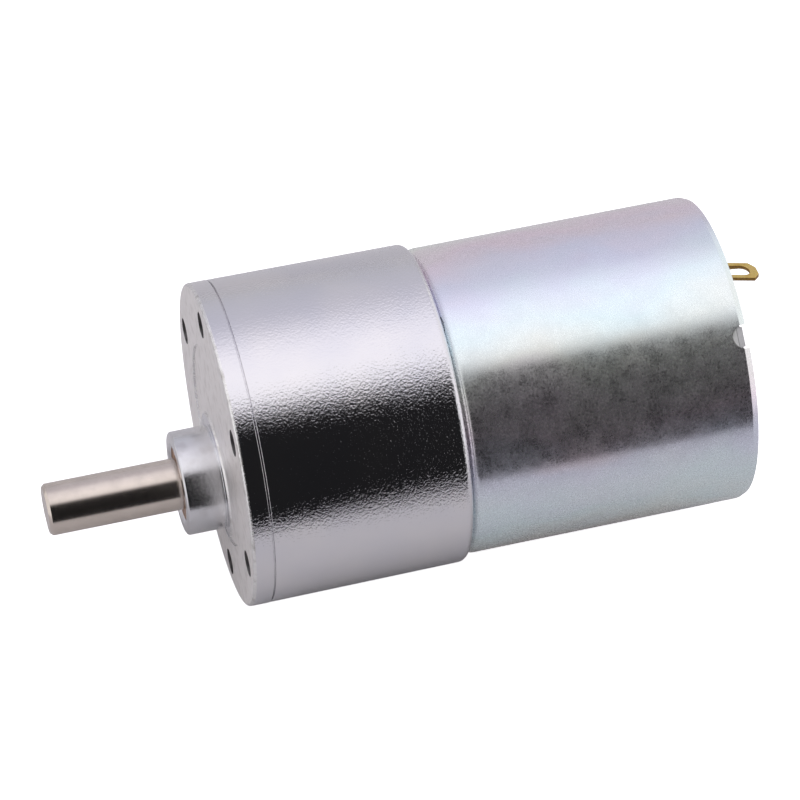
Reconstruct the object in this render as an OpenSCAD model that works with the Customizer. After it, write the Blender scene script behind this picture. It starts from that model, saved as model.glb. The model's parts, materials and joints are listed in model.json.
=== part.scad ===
// Spur gear motor: a brushed motor in a drawn steel can, on a round die-cast gearbox
// whose output shaft is offset from the motor's axis.
//
// The motor's axis is the X axis. X = 0 is the gearbox's front face, +X runs to the
// motor's rear, the output shaft points along -X and lies below the axis, and +Z is up.
// Each part is drawn about its own axis and then laid along X by at_depth().

/* [Gearbox case] */
// Diameter of the gearbox at its front rim
case_d = 37; // [36.8:0.1:37.4]
// Diameter of the gearbox at its rear end, where the casting's draft has drawn it in
case_rear_d = 36.66; // [36.5:0.02:36.8]
// Length of the gearbox, from its front face to the motor
case_len = 25.2; // [25.2:0.1:26]
// Thickness of the front cover's flange
cover_t = 2.5; // [2.4:0.1:2.6]
// Diameter of the shallow recess in the front face
recess_d = 23; // [22.4:0.1:23.2]
// Depth of that recess
recess_depth = 0.25; // [0.2:0.05:0.5]
// Radius of the cavity in the housing
cavity_r = 16.5; // [16.4:0.05:16.8]
// Radius of the housing's rear corner
case_corner_r = 0.8; // [0.4:0.1:1.2]
// Radius of the front rim's edge
rim_edge_r = 0.3; // [0.15:0.05:0.4]

/* [Boss and output shaft] */
// How far the output shaft's axis lies below the motor's axis
shaft_offset = 7; // [6.9:0.05:7.1]
// Diameter of the round boss around the shaft
boss_d = 12; // [11.6:0.1:12.4]
// Diameter of the low ring at the boss's foot
boss_foot_d = 15; // [14:0.1:15.2]
// How far the boss stands out from the front face
boss_reach = 4.45; // [3.5:0.05:6]
// Diameter of the output shaft
shaft_d = 6; // [5.5:0.1:6]
// How far the shaft's tip stands out from the front face
shaft_reach = 19.7; // [18:0.1:22]
// Length of the flat on the shaft
flat_len = 12; // [8:0.5:13]
// Depth of the flat
flat_depth = 0.5; // [0.3:0.1:0.8]

/* [Screw holes] */
// Diameter of the circle that the mounting holes lie on
mount_pcd = 31; // [30.8:0.1:31.2]
// Diameter of a mounting hole
mount_hole_d = 3; // [2.5:0.1:3]
// Radius of the circle that the cover's own screws lie on, behind the motor
cover_screw_ring_r = 15.3; // [15.2:0.05:15.4]

/* [Gear train] */
// Module of the first mesh
fine_module = 0.4; // [0.38:0.01:0.4]
// Module of the other meshes
coarse_module = 0.5; // [0.49:0.01:0.5]
// How much each tooth is thinned at its pitch line, for backlash
tooth_thinning = 0.05; // [0.03:0.01:0.08]
// Diameter of the fixed pins that the wheels turn on
pin_d = 2; // [1.8:0.1:2]
// Radial clearance of everything that turns on a pin or in a bush
running_gap = 0.035; // [0.02:0.005:0.05]

/* [Motor] */
// Diameter of the motor's can
can_d = 35.2; // [35:0.1:35.6]
// Length of the can, without its front boss
can_len = 33.14; // [33:0.02:34]
// Thickness of the can's wall
can_wall = 1.1; // [0.9:0.05:1.2]
// Radius of the can's front corner
can_corner_r = 1.2; // [0.5:0.1:1.4]
// Width of the notches in the can's rear rim
notch_w = 2.7; // [2.4:0.1:3]
// Depth of the notches
notch_depth = 1.74; // [1.6:0.02:2]
// Where the first notch is round the rim; the other is opposite
notch_angle = 118; // [100:1:140]
// Diameter of the motor's shaft
motor_shaft_d = 2.3; // [2:0.1:2.4]
// Radius of the armature's laminated core
armature_r = 12; // [11.6:0.1:12.1]

/* [Terminals] */
// Width of a terminal's blade
terminal_w = 2.8; // [2.4:0.1:3]
// Thickness of the blade
terminal_t = 0.5; // [0.4:0.05:0.6]
// How far the blade stands out behind the can
terminal_reach = 5.4; // [4:0.1:8]
// Radius that the terminals leave the rear plate at
terminal_ring_r = 11.15; // [10.9:0.05:11.4]
// How far the part of a terminal behind the can leans in towards the axis, in degrees
terminal_lean = 14; // [10:0.5:15]
// Where the first terminal is round the motor; the other is opposite
terminal_angle = 71; // [60:1:80]

/* [Hidden] */
$fn = 96;
eps = 0.01;

// Colours
zinc = [0.80, 0.79, 0.80];
can_zinc = [0.72, 0.74, 0.78];
steel = [0.66, 0.64, 0.62];
bronze = [0.56, 0.38, 0.26];
brass = [0.80, 0.66, 0.33];
copper = [0.72, 0.42, 0.25];
dark_steel = [0.35, 0.35, 0.37];
ferrite = [0.18, 0.18, 0.19];
plastic = [0.85, 0.82, 0.74];
graphite = [0.12, 0.12, 0.13];

// Teeth on the motor's pinion and on the wheel it drives
first_mesh = [12, 32];
// Teeth on the first pinion and the second wheel, and on the second pinion and third wheel
middle_mesh = [10, 26];
// Teeth on the third pinion and the output gear
last_mesh = [12, 34];
// Number of poles on the armature
poles = 5;

// Depths along X
pad_depth = cover_t + 0.8;
wall_depth = 21.2;
bush_front = 0.4 - boss_reach;
last_gear = [3.9, 8.4];
clip_depth = [8.45, 9.05];
third_wheel = [9.2, 12.2];
third_pinion = [3.9, 8.9];
second_pinion = [8.9, 12.2];
second_wheel = [12.5, 15.3];
first_pinion = [12.5, 15.6];
first_wheel = [15.9, 18.6];
motor_pinion_span = [15.7, 20.5];
journal_depth = 20.6;
pin_span = [1.5, 23.1];
can_end = case_len + can_len;
can_boss = [case_len - 1.4, case_len + 2];
plate_span = [can_end - 1.34, can_end - 0.44];
holder_span = [plate_span[0] - 2, plate_span[0]];
magnet_span = [case_len + 3.8, case_len + 25.8];
core_span = [case_len + 6.8, case_len + 22.8];
bar_span = [core_span[1] + 3, core_span[1] + 7.2];

// Radii
case_r = case_d / 2;
case_rear_r = case_rear_d / 2;
boss_r = boss_d / 2;
bush_r = 4.4;
shaft_r = shaft_d / 2;
journal_r = 2;
rear_bush_r = 3;
clip_r = 4;
pin_r = pin_d / 2;
hub_r = 1.8;
large_hub_r = 2.2;
spacer_r = 1.75;
can_r = can_d / 2;
can_inner_r = can_r - can_wall;
can_boss_r = 5;
bearing_r = 3.2;
shaft_hole_r = 1.9;
motor_shaft_r = motor_shaft_d / 2;
magnet_inner_r = armature_r + 0.6;
bar_r = 3.3;
bar_inner_r = 2.6;
pinion_window_r = 3.4;

// Chamfer on both sides of the seam between the cover and the housing
seam_chamfer = 0.15;

// Screws
cover_screw_angles = [90, 210, 330];
cover_screw_r = 0.95;
cover_screw_head_r = 1.85;
cover_screw_span = [1.2, case_len - 0.05];
cover_screw_head_h = 0.9;
motor_screw_angles = [120, 300];
motor_screw_ring_r = 12.5;
motor_screw_r = 1.45;
motor_screw_head_r = 2.7;
motor_screw_head_h = 1.4;
post_r = 1.9;

// Gear tooth shape
pressure_angle = 25;
addendum = 0.95;
dedendum = 1.25;
flank_steps = 5;

// Distances between meshed axes
first_centres = fine_module * (first_mesh[0] + first_mesh[1]) / 2;
middle_centres = coarse_module * (middle_mesh[0] + middle_mesh[1]) / 2;
last_centres = coarse_module * (last_mesh[0] + last_mesh[1]) / 2;

// Places of the axes, as [Y, Z]. Pin A is at its meshing distance from both the motor's
// axis and the output axis, and carries the first and third stages. Pin B carries the second.
motor_axis = [0, 0];
output_axis = [0, -shaft_offset];
pin_a_z = (last_centres * last_centres - first_centres * first_centres - shaft_offset * shaft_offset)
    / (2 * shaft_offset);
pin_a_axis = [sqrt(first_centres * first_centres - pin_a_z * pin_a_z), pin_a_z];
pin_b_bearing = 140;
pin_b_axis = pin_a_axis + middle_centres * [cos(pin_b_bearing), sin(pin_b_bearing)];

// Tooth phases, so that each pair is in mesh at rest
a_from_motor = bearing(motor_axis, pin_a_axis);
b_from_a = bearing(pin_a_axis, pin_b_axis);
a_from_b = bearing(pin_b_axis, pin_a_axis);
output_from_a = bearing(pin_a_axis, output_axis);
first_wheel_phase = meshed_phase(first_mesh, a_from_motor);
second_wheel_phase = meshed_phase(middle_mesh, b_from_a);
third_wheel_phase = meshed_phase(middle_mesh, a_from_b);
output_phase = meshed_phase(last_mesh, output_from_a);

// Direction from one axis to another, in degrees
function bearing(from, to) = atan2(to[1] - from[1], to[0] - from[0]);

// Phase of a wheel that meshes, in the given direction, with a pinion whose phase is 0
function meshed_phase(mesh, direction) =
    direction + 180 + 180 / mesh[1] + direction * mesh[0] / mesh[1];

function involute(angle) = tan(angle) * 180 / PI - angle;

function polar(r, angle) = [r * cos(angle), r * sin(angle)];

// Half the angle that a tooth fills at radius r, for a gear of pitch radius pitch
function half_tooth(teeth, pitch, r) =
    let (base = pitch * cos(pressure_angle))
    90 / teeth - tooth_thinning / 2 / pitch * 180 / PI
        + involute(pressure_angle) - involute(acos(base / max(r, base)));

// Radii at the points of one flank, from the root to the tip
function flank_radii(pitch, module_size) =
    let (root = pitch - dedendum * module_size,
         tip = pitch + addendum * module_size,
         start = max(root + eps, pitch * cos(pressure_angle)))
    concat([root], [for (i = [0:flank_steps]) start + (tip - start) * i / flank_steps]);

// Outline of a gear whose first tooth is centred at the angle phase
function gear_outline(teeth, module_size, phase) =
    let (pitch = teeth * module_size / 2,
         radii = flank_radii(pitch, module_size),
         last = len(radii) - 1)
    [for (tooth = [0:teeth - 1], side = [-1, 1], i = [0:last])
        let (r = radii[side < 0 ? i : last - i])
        polar(r, phase + 360 * tooth / teeth + side * half_tooth(teeth, pitch, r))];

// Points of an arc about a centre
function arc(centre, r, from, to, steps = 6) =
    [for (i = [0:steps]) centre + polar(r, from + (to - from) * i / steps)];

// Lays a part along X: its own z axis runs along +X from the given depth, about axis [Y, Z]
module at_depth(depth, axis = motor_axis)
    translate([depth, axis[0], axis[1]]) rotate([90, 0, 90]) children();

// A solid of revolution, from points [radius, depth]
module turned(points, axis = motor_axis)
    at_depth(0, axis) rotate_extrude() polygon(points);

// A plain cylinder between two depths
module rod(r, span, axis = motor_axis)
    at_depth(span[0], axis) cylinder(r = r, h = span[1] - span[0]);

// A ring or tube between two depths
module ring(outer_r, inner_r, span, axis = motor_axis)
    difference() {
        rod(outer_r, span, axis);
        rod(inner_r, [span[0] - eps, span[1] + eps], axis);
    }

module gear_teeth(teeth, module_size, phase, span, axis)
    at_depth(span[0], axis)
        linear_extrude(span[1] - span[0]) polygon(gear_outline(teeth, module_size, phase));

// A toothed wheel with a round bore
module wheel(teeth, module_size, phase, bore_r, span, axis)
    difference() {
        gear_teeth(teeth, module_size, phase, span, axis);
        rod(bore_r, [span[0] - eps, span[1] + eps], axis);
    }

// A pinion with a plain hub that carries its wheel, bored to turn on a pin
module stage_pinion(teeth, tooth_span, whole_span, carrier_r, axis)
    difference() {
        union() {
            gear_teeth(teeth, coarse_module, 0, tooth_span, axis);
            rod(carrier_r, whole_span, axis);
        }
        rod(pin_r + running_gap, [whole_span[0] - eps, whole_span[1] + eps], axis);
    }

// Two crossed slots, cut into a screw's head from the given depth
module cross_recess(w, depth_span, axis)
    for (turn = [0, 90])
        at_depth(depth_span[0], axis) rotate([0, 0, turn])
            translate([-w / 2, -w / 8, 0]) cube([w, w / 4, depth_span[1] - depth_span[0]]);

// Axis of one of the cover's screws
function cover_screw_axis(angle) = polar(cover_screw_ring_r, angle);

// Gearbox case

module front_cover() {
    recess_r = recess_d / 2;
    pad_r = 13.4;
    foot_r = boss_foot_d / 2;
    foot_depth = 0.05;
    mouth_edge = 0.35;
    color(zinc) difference() {
        union() {
            turned(concat(
                [[0, recess_depth], [recess_r, recess_depth], [recess_r + 0.1, 0]],
                arc([case_r - rim_edge_r, rim_edge_r], rim_edge_r, -90, 0),
                [[case_r, cover_t - seam_chamfer], [case_r - seam_chamfer, cover_t], [0, cover_t]]
            ));
            rod(pad_r, [cover_t - eps, pad_depth]);
            turned(concat(
                [[0, -boss_reach]],
                arc([boss_r - mouth_edge, mouth_edge - boss_reach], mouth_edge, -90, 0),
                [[boss_r, foot_depth], [foot_r - foot_depth, foot_depth], [foot_r, recess_depth],
                 [foot_r, cover_t], [0, cover_t]]
            ), output_axis);
        }
        rod(bush_r, [-boss_reach - 1, pad_depth + 1], output_axis);
        turned([[0, -boss_reach - eps], [bush_r + 0.3, -boss_reach - eps], [bush_r, 0.3 - boss_reach],
                [0, 0.3 - boss_reach]], output_axis);
        for (axis = [pin_a_axis, pin_b_axis])
            rod(pin_r, [pin_span[0], pad_depth + 1], axis);
        for (angle = [0:60:300])
            rod(mount_hole_d / 2, [-1, cover_t + 1], polar(mount_pcd / 2, angle));
        for (angle = cover_screw_angles)
            rod(cover_screw_r, [cover_screw_span[0] - 0.2, cover_t + 1], cover_screw_axis(angle));
    }
}

module gearbox_housing() {
    front_r = case_r - 0.02;
    relief_depth = 1.2;
    screw_hole_r = cover_screw_r + 0.15;
    seat_r = cover_screw_head_r + 0.1;
    seat_depth = case_len - cover_screw_head_h - 0.1;
    case_corner = arc([case_rear_r - case_corner_r, case_len - case_corner_r], case_corner_r, 0, 90);
    color(zinc) difference() {
        turned(concat(
            [[0, cover_t], [front_r - seam_chamfer, cover_t], [front_r, cover_t + seam_chamfer]],
            case_corner, [[0, case_len]]
        ));
        difference() {
            rod(cavity_r, [cover_t - 1, wall_depth]);
            for (angle = cover_screw_angles)
                rod(post_r, [cover_t - 2, wall_depth + 1], cover_screw_axis(angle));
        }
        for (angle = cover_screw_angles) {
            rod(screw_hole_r, [cover_t - 1, case_len + 1], cover_screw_axis(angle));
            turned([[0, seat_depth], [screw_hole_r, seat_depth], [seat_r, case_len],
                    [seat_r, case_len + 1], [0, case_len + 1]], cover_screw_axis(angle));
        }
        for (angle = [0:60:300])
            rod(mount_hole_d / 2 + 0.2, [cover_t - 1, cover_t + relief_depth], polar(mount_pcd / 2, angle));
        rod(rear_bush_r, [wall_depth - 1, wall_depth + 2], output_axis);
        for (axis = [pin_a_axis, pin_b_axis])
            rod(pin_r, [wall_depth - 1, pin_span[1]], axis);
        rod(pinion_window_r, [wall_depth - 1, case_len + 1]);
        rod(can_boss_r + 0.05, [can_boss[0] - 0.05, case_len + 1]);
        for (angle = motor_screw_angles) {
            axis = polar(motor_screw_ring_r, angle);
            rod(motor_screw_r + 0.15, [wall_depth - 1, case_len + 1], axis);
            rod(motor_screw_head_r + 0.3, [wall_depth - 1, wall_depth + motor_screw_head_h + 0.2], axis);
        }
    }
}

module cover_screws()
    color(zinc) for (angle = cover_screw_angles) {
        axis = cover_screw_axis(angle);
        tip = cover_screw_span[0];
        head = cover_screw_span[1];
        difference() {
            turned([[0, tip], [cover_screw_r - 0.3, tip], [cover_screw_r, tip + 0.3],
                    [cover_screw_r, head - cover_screw_head_h], [cover_screw_head_r, head],
                    [0, head]], axis);
            cross_recess(2, [head - 0.5, head + 1], axis);
        }
    }

module output_bush()
    color(bronze) difference() {
        turned([[0, bush_front], [bush_r - 0.25, bush_front], [bush_r, bush_front + 0.25],
                [bush_r, pad_depth], [0, pad_depth]], output_axis);
        rod(shaft_r + running_gap, [bush_front - 1, pad_depth + 1], output_axis);
        turned([[0, bush_front - eps], [shaft_r + 0.35, bush_front - eps],
                [shaft_r + running_gap, bush_front + 0.3], [0, bush_front + 0.3]], output_axis);
    }

module rear_output_bush()
    color(bronze) ring(rear_bush_r, journal_r + running_gap, [wall_depth, wall_depth + 2], output_axis);

module output_washers()
    color(steel) {
        ring(5.2, shaft_r + 0.05, [pad_depth + 0.05, pad_depth + 0.55], output_axis);
        ring(3.6, journal_r + 0.05, [wall_depth - 0.55, wall_depth - 0.05], output_axis);
    }

// Output shaft and what turns with it

module output_shaft() {
    tip_chamfer = 0.35;
    groove_r = shaft_r - 0.5;
    // Shallow groove that holds oil, where the shaft leaves its bush
    oil_groove = [bush_front - 0.05, bush_front + 0.6];
    oil_groove_r = shaft_r - 0.2;
    // Turns the revolved wall's seam away from the flat
    seam_turn = -22.5;
    color(steel) difference() {
        at_depth(0, output_axis) rotate([0, 0, seam_turn]) rotate_extrude() polygon([
            [0, -shaft_reach], [shaft_r - tip_chamfer, -shaft_reach], [shaft_r, tip_chamfer - shaft_reach],
            [shaft_r, oil_groove[0]], [oil_groove_r, oil_groove[0]], [oil_groove_r, oil_groove[1]],
            [shaft_r, oil_groove[1]], [shaft_r, clip_depth[0]], [groove_r, clip_depth[0]],
            [groove_r, clip_depth[1]],
            [shaft_r, clip_depth[1]], [shaft_r, journal_depth], [journal_r, journal_depth],
            [journal_r, wall_depth + 1.7], [journal_r - 0.3, wall_depth + 1.95], [0, wall_depth + 1.95]
        ]);
        translate([-shaft_reach - 1, -shaft_r - 1, -shaft_offset - shaft_r - 1])
            cube([flat_len + 1, shaft_d + 2, flat_depth + 1]);
    }
}

module output_gear() {
    relief_outer_r = 7;
    relief_inner_r = 4.8;
    color(steel) difference() {
        wheel(last_mesh[1], coarse_module, output_phase, shaft_r, last_gear, output_axis);
        // Shallow ring-shaped recess between the rim and the hub
        ring(relief_outer_r, relief_inner_r, [last_gear[1] - 0.8, last_gear[1] + 1], output_axis);
    }
}

module output_clip()
    color(dark_steel) difference() {
        ring(clip_r, shaft_r - 0.5, clip_depth, output_axis);
        // The clip's mouth, where it slides onto the shaft
        at_depth(clip_depth[0] - 1, output_axis)
            translate([-shaft_r * 0.6, 0, 0]) cube([shaft_r * 1.2, clip_r + 1, 3]);
    }

// Gear train

module gear_pin(axis)
    color(steel) rod(pin_r, pin_span, axis);

module gear_spacers()
    color(brass) {
        ring(spacer_r, pin_r + running_gap, [pad_depth + 0.05, third_pinion[0] - 0.05], pin_a_axis);
        ring(spacer_r, pin_r + running_gap, [third_wheel[1] + 0.05, first_pinion[0] - 0.05], pin_a_axis);
        ring(spacer_r, pin_r + running_gap, [first_wheel[1] + 0.05, wall_depth - 0.05], pin_a_axis);
        ring(spacer_r, pin_r + running_gap, [pad_depth + 0.05, second_pinion[0] - 0.05], pin_b_axis);
        ring(spacer_r, pin_r + running_gap, [second_wheel[1] + 0.05, wall_depth - 0.05], pin_b_axis);
    }

module third_stage_wheel()
    color(steel)
        wheel(middle_mesh[1], coarse_module, third_wheel_phase, large_hub_r, third_wheel, pin_a_axis);

module third_stage_pinion()
    color(dark_steel)
        stage_pinion(last_mesh[0], third_pinion, [third_pinion[0], third_wheel[1]], large_hub_r,
                     pin_a_axis);

module second_stage_wheel()
    color(steel) wheel(middle_mesh[1], coarse_module, second_wheel_phase, hub_r, second_wheel, pin_b_axis);

module second_stage_pinion()
    color(dark_steel)
        stage_pinion(middle_mesh[0], second_pinion, [second_pinion[0], second_wheel[1]], hub_r, pin_b_axis);

module first_stage_wheel()
    color(plastic) wheel(first_mesh[1], fine_module, first_wheel_phase, hub_r, first_wheel, pin_a_axis);

module first_stage_pinion()
    color(dark_steel)
        stage_pinion(middle_mesh[0], first_pinion, [first_pinion[0], first_wheel[1]], hub_r, pin_a_axis);

module motor_pinion()
    color(brass) wheel(first_mesh[0], fine_module, 0, motor_shaft_r, motor_pinion_span, motor_axis);

// Motor case

module motor_screws()
    color(dark_steel) for (angle = motor_screw_angles) {
        axis = polar(motor_screw_ring_r, angle);
        head_front = wall_depth + 0.2;
        difference() {
            union() {
                rod(motor_screw_head_r, [head_front, head_front + motor_screw_head_h], axis);
                rod(motor_screw_r, [head_front, case_len + 1.6], axis);
            }
            cross_recess(2.6, [head_front - 1, head_front + 0.8], axis);
        }
    }

module motor_can() {
    // The rim, rolled in a little, as its length and how much smaller it ends
    rim = [0.7, 0.3];
    lip_r = can_inner_r - 0.4;
    color(can_zinc) difference() {
        turned(concat(
            [[shaft_hole_r, can_boss[0]], [can_boss_r - 0.4, can_boss[0]], [can_boss_r, can_boss[0] + 0.4],
             [can_boss_r, case_len]],
            arc([can_r - can_corner_r, case_len + can_corner_r], can_corner_r, -90, 0),
            [[can_r, can_end - rim[0]], [can_r - rim[1], can_end], [lip_r, can_end],
             [lip_r, plate_span[1]], [can_inner_r, plate_span[1]], [can_inner_r, case_len + 1],
             [bearing_r + 0.9, case_len + 1], [bearing_r + 0.9, can_boss[1]], [bearing_r, can_boss[1]],
             [bearing_r, can_boss[0] + 0.6], [shaft_hole_r, can_boss[0] + 0.6]]
        ));
        for (angle = [notch_angle, notch_angle + 180])
            at_depth(can_end - notch_depth) rotate([0, 0, angle])
                notch(can_inner_r - 1, can_r + 1, notch_w);
        for (angle = motor_screw_angles)
            rod(motor_screw_r, [case_len - 1, case_len + 2], polar(motor_screw_ring_r, angle));
    }
}

// A block between two radii, with a half-round bottom at z = 0
module notch(from_r, to_r, w) {
    round_r = w / 2;
    translate([from_r, 0, round_r]) rotate([0, 90, 0]) cylinder(r = round_r, h = to_r - from_r);
    translate([from_r, -round_r, round_r]) cube([to_r - from_r, w, notch_depth]);
}

module front_bearing()
    color(bronze) ring(bearing_r, motor_shaft_r + running_gap, [can_boss[0] + 0.6, can_boss[1]]);

module rear_bearing()
    color(bronze) ring(bearing_r, motor_shaft_r + running_gap, [plate_span[0], can_end + 1.1]);

module end_plate() {
    lug_w = 2.2;
    lug_r = can_r - 0.3;
    boss_end = can_end + 1.6;
    color(can_zinc) difference() {
        union() {
            rod(can_inner_r, plate_span);
            turned([[0, plate_span[0]], [bearing_r + 1.5, plate_span[0]], [bearing_r + 1.5, boss_end - 0.4],
                    [bearing_r + 1.1, boss_end], [0, boss_end]]);
            for (angle = [notch_angle, notch_angle + 180])
                at_depth(plate_span[0] + 0.25) rotate([0, 0, angle])
                    translate([0, -lug_w / 2, 0])
                        cube([lug_r, lug_w, plate_span[1] - plate_span[0] - 0.25]);
        }
        rod(bearing_r, [plate_span[0] - 1, can_end + 1.1]);
        rod(shaft_hole_r, [plate_span[0] - 1, boss_end + 1]);
        for (side = [0, 180])
            at_depth(plate_span[0] - 1) rotate([0, 0, terminal_angle + side])
                translate([terminal_ring_r - 1, -terminal_w / 2 - 0.5, 0]) cube([2, terminal_w + 1, 3]);
    }
}

module magnet(angle) {
    half_arc = 62;
    far = 3 * can_r;
    color(ferrite) at_depth(magnet_span[0]) rotate([0, 0, angle])
        linear_extrude(magnet_span[1] - magnet_span[0]) intersection() {
            difference() {
                circle(r = can_inner_r);
                circle(r = magnet_inner_r);
            }
            polygon([[0, 0], polar(far, -half_arc), [far, 0], polar(far, half_arc)]);
        }
}

// Two spring clips that press the magnets apart, bent from strip
module magnet_clips() {
    half_arc = 22;
    strip_t = 0.4;
    leg_len = 2.6;
    far = 3 * can_r;
    color(steel) for (side = [0, 180])
        at_depth(magnet_span[0] + 1) rotate([0, 0, terminal_angle + side])
            linear_extrude(magnet_span[1] - magnet_span[0] - 2) {
                intersection() {
                    difference() {
                        circle(r = can_inner_r);
                        circle(r = can_inner_r - strip_t);
                    }
                    polygon([[0, 0], polar(far, -half_arc), [far, 0], polar(far, half_arc)]);
                }
                for (end = [-1, 1])
                    rotate(end * half_arc)
                        translate([can_inner_r - leg_len, end > 0 ? -strip_t : 0])
                            square([leg_len - strip_t / 2, strip_t]);
            }
}

// Armature and commutator

module motor_shaft()
    color(steel) turned([
        [0, motor_pinion_span[0]], [motor_shaft_r - 0.2, motor_pinion_span[0]],
        [motor_shaft_r, motor_pinion_span[0] + 0.2], [motor_shaft_r, can_end + 1.2],
        [motor_shaft_r - 0.2, can_end + 1.4], [0, can_end + 1.4]
    ]);

module armature_core() {
    core_hub_r = 4.5;
    shoe_inner_r = 10.2;
    web_w = 3.2;
    slot_mouth = 1.8;
    color(dark_steel) at_depth(core_span[0]) linear_extrude(core_span[1] - core_span[0]) difference() {
        union() {
            circle(r = core_hub_r);
            difference() {
                circle(r = armature_r);
                circle(r = shoe_inner_r);
                for (pole = [0:poles - 1])
                    rotate(360 * (pole + 0.5) / poles) translate([core_hub_r, -slot_mouth / 2])
                        square([armature_r, slot_mouth]);
            }
            for (pole = [0:poles - 1])
                rotate(360 * pole / poles) translate([0, -web_w / 2]) square([shoe_inner_r + 0.3, web_w]);
        }
        circle(r = motor_shaft_r);
    }
}

// A rectangle with rounded corners, centred on the origin
module rounded_rect(length, width, r) {
    square([length, width - 2 * r], center = true);
    square([length - 2 * r, width], center = true);
    for (x = [-1, 1], y = [-1, 1])
        translate([x * (length / 2 - r), y * (width / 2 - r)]) circle(r = r);
}

module armature_coils() {
    inner_r = 5.1;
    outer_r = 10.15;
    wire_t = 1.9;
    web_w = 3.2;
    core_len = core_span[1] - core_span[0];
    middle = (core_span[0] + core_span[1]) / 2;
    color(copper) for (pole = [0:poles - 1])
        intersection() {
            at_depth(middle) rotate([0, 0, 360 * pole / poles])
                translate([inner_r, 0, 0]) rotate([0, 90, 0]) linear_extrude(outer_r - inner_r)
                    difference() {
                        rounded_rect(core_len + 2 * wire_t, web_w + 2 * wire_t, 1.6);
                        square([core_len, web_w], center = true);
                    }
            rod(outer_r, [core_span[0] - 5, core_span[1] + 5]);
        }
}

module armature_washers()
    color(plastic) {
        ring(2.4, motor_shaft_r, [can_boss[1] + 0.1, can_boss[1] + 0.7]);
        ring(2.4, motor_shaft_r, [plate_span[0] - 0.7, plate_span[0] - 0.1]);
    }

module commutator_hub()
    color(plastic) difference() {
        union() {
            rod(bar_inner_r, [core_span[1], bar_span[1] + 0.4]);
            rod(4.2, [core_span[1], core_span[1] + 1.2]);
        }
        rod(motor_shaft_r, [core_span[1] - 1, bar_span[1] + 1]);
    }

module commutator_bars() {
    slit = 0.4;
    tang_r = 4.6;
    far = 3 * tang_r;
    color(copper) for (pole = [0:poles - 1])
        intersection() {
            union() {
                ring(bar_r, bar_inner_r, bar_span);
                ring(tang_r, bar_inner_r, [bar_span[0] - 0.4, bar_span[0]]);
            }
            at_depth(bar_span[0] - 1) rotate([0, 0, 360 * pole / poles])
                linear_extrude(bar_span[1] - bar_span[0] + 2)
                    polygon([[slit / 2 / sin(180 / poles), 0], polar(far, 180 / poles) - [0, slit / 2],
                             [far, 0], polar(far, -180 / poles) + [0, slit / 2]]);
        }
}

// Brush gear

module brush_holder() {
    collar_reach = 0.3;
    opening_r = 6.5;
    key_gap = 0.08;
    color(plastic) difference() {
        union() {
            rod(can_inner_r, holder_span);
            // Keys that fill the bottoms of the can's notches, in front of the end plate's lugs
            difference() {
                for (angle = [notch_angle, notch_angle + 180])
                    at_depth(can_end - notch_depth + key_gap) rotate([0, 0, angle])
                        notch(can_inner_r - 1, can_r - 0.3, notch_w - 2 * key_gap);
                rod(can_inner_r, [plate_span[0], can_end + 2]);
                rod(can_r + 1, [plate_span[0] + 0.2, can_end + 2]);
            }
            for (side = [0, 180])
                at_depth(holder_span[0]) rotate([0, 0, terminal_angle + side])
                    translate([terminal_ring_r - 1, -terminal_w / 2 - 0.5, 0])
                        cube([2, terminal_w + 1, plate_span[1] + collar_reach - holder_span[0]]);
        }
        rod(opening_r, [holder_span[0] - 1, holder_span[1] + 1]);
        for (side = [0, 180])
            at_depth(holder_span[0] - 1) rotate([0, 0, terminal_angle + side])
                translate([terminal_ring_r - terminal_t / 2, -terminal_w / 2, 0])
                    cube([terminal_t, terminal_w, 6]);
    }
}

module brushes() {
    w = 2.2;
    length = 1.7;
    h = 1.8;
    color(graphite) for (side = [0, 180])
        difference() {
            at_depth(bar_span[1] - 1.2 - h) rotate([0, 0, side])
                translate([bar_r - 0.4, -w / 2, 0]) cube([length + 0.4, w, h]);
            rod(bar_r + 0.05, [bar_span[0], bar_span[1] + 1]);
        }
}

// Leaf springs from each terminal's foot to its brush
module brush_arms() {
    strip_t = 0.25;
    arm_w = 2.4;
    brush_back = [bar_r + 1.7, -1.4];
    elbow = [bar_r + 1.9, 8.3];
    foot_r = terminal_ring_r - terminal_t / 2 - strip_t / 2;
    along_foot = [sin(terminal_angle), -cos(terminal_angle)];
    foot = [for (along = [1.1, -1.2]) polar(foot_r, terminal_angle) + along * along_foot];
    color(brass) for (side = [0, 180])
        at_depth(holder_span[0] - 0.3 - arm_w) rotate([0, 0, side]) linear_extrude(arm_w) {
            strip(brush_back + [strip_t / 2, 0], elbow, strip_t);
            strip(elbow, foot[0], strip_t);
            strip(foot[0], foot[1], strip_t);
        }
}

// A flat strip between two points, with round ends
module strip(from, to, thickness) {
    angle = bearing(from, to);
    length = norm(to - from);
    translate(from) {
        circle(d = thickness);
        rotate(angle) translate([0, -thickness / 2]) square([length, thickness]);
    }
    translate(to) circle(d = thickness);
}

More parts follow.
